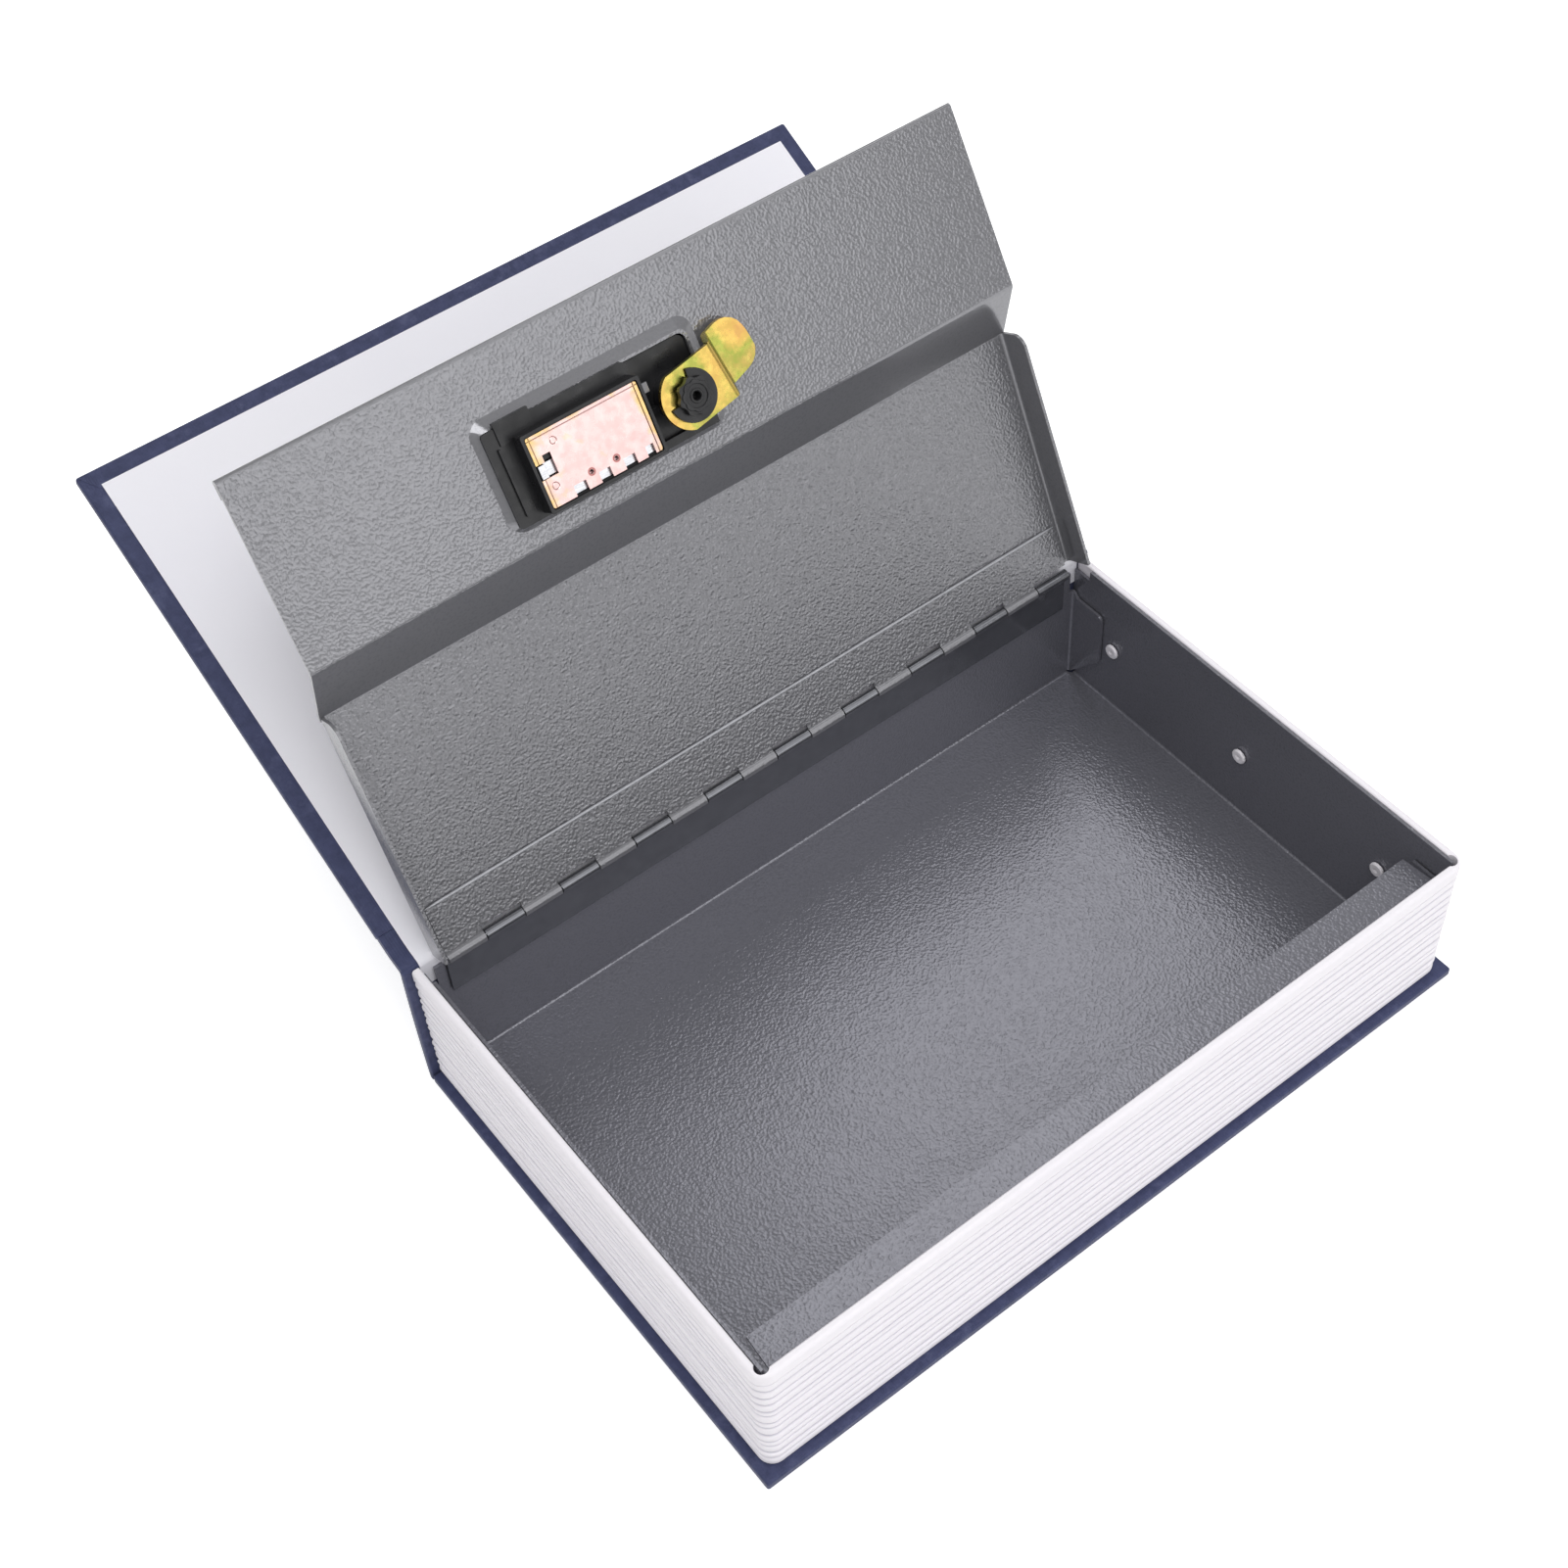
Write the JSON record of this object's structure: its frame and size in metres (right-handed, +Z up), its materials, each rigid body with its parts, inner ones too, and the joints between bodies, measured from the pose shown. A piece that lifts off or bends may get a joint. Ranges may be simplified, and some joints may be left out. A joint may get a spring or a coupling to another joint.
{
  "type": "book diversion safe",
  "caption": "Book-shaped cash box standing open: cloth-bound case, ribbed page block, steel tray, hinged steel lid with a combination lock, and a front cover.",
  "frame": {"origin": "underside of the bottom board, at the middle of the case's length and depth", "axes": "+X along the hinge towards the spine's right-hand end, +Y from the fore edge towards the spine, +Z up"},
  "size_m": [0.2392, 0.2945, 0.1811],
  "materials": {
    "hammer_grey": "wrinkled powder coat",
    "hinge_grey": "satin powder coat",
    "bare_steel": "bright",
    "navy_cloth": "bookcloth on hardboard",
    "white_plastic": "ribbed moulding",
    "white_paper": "smooth paper",
    "black_plastic": "satin",
    "pink_plate": "bright plated",
    "yellow_zinc": "yellow passivated zinc"
  },
  "bodies": {
    "case": {"bottom_board": "navy_cloth", "spine": "navy_cloth", "page_block": "white_plastic", "steel_tray": "hammer_grey", "stud_left_1": "white_plastic", "stud_left_2": "white_plastic", "stud_left_3": "white_plastic", "stud_right_1": "white_plastic", "stud_right_2": "white_plastic", "stud_right_3": "white_plastic", "box_hinge_leaf": "hinge_grey", "hinge_pin": "bare_steel"},
    "lid": {"lid_panel": "hammer_grey", "lid_hinge_leaf": "hinge_grey", "lock_housing": "black_plastic", "lock_plate": "pink_plate", "detent_spring": "bare_steel", "locking_bar": "bare_steel", "wheel_shaft": "bare_steel", "escutcheon": "black_plastic"},
    "cover": {"cover_board": "navy_cloth", "endpaper": "white_paper"},
    "cam_assembly": {"turn_shaft": "black_plastic", "cam": "yellow_zinc", "cam_retainer": "black_plastic", "turn_knob": "black_plastic"},
    "wheel_1": {"number_wheel_1": "black_plastic"},
    "wheel_2": {"number_wheel_2": "black_plastic"},
    "wheel_3": {"number_wheel_3": "black_plastic"},
    "lever": {"reset_lever": "bare_steel"}
  },
  "joints": [
    {"name": "lid_hinge", "type": "hinge", "parent": "case", "child": "lid", "pos_m": [0, 0.0716, 0.051], "axis": [1, 0, 0], "range_deg": [0, 116.2]},
    {"name": "cover_hinge", "type": "hinge", "parent": "case", "child": "cover", "pos_m": [0, 0.0771, 0.0522], "axis": [1, 0, 0], "range_deg": [0, 151.8]},
    {"name": "cam_turn", "type": "hinge", "parent": "lid", "child": "cam_assembly", "pos_m": [0.00505, 0.10397, 0.15757], "axis": [0, -0.8554, 0.518], "range_deg": [0, 80.3]},
    {"name": "wheel_1_spin", "type": "hinge", "parent": "lid", "child": "wheel_1", "pos_m": [-0.0285, 0.10996, 0.15394], "axis": [1, 0, 0], "continuous": true},
    {"name": "wheel_2_spin", "type": "hinge", "parent": "lid", "child": "wheel_2", "pos_m": [-0.0209, 0.10996, 0.15394], "axis": [1, 0, 0], "continuous": true},
    {"name": "wheel_3_spin", "type": "hinge", "parent": "lid", "child": "wheel_3", "pos_m": [-0.0133, 0.10996, 0.15394], "axis": [1, 0, 0], "continuous": true},
    {"name": "lever_slide", "type": "slide", "parent": "lid", "child": "lever", "axis": [1, 0, 0], "range_m": [0, 0.002]}
  ],
  "couplings": [
    {"joint": "cover_hinge", "follows": "lid_hinge", "ratio": 1.3063}
  ]
}
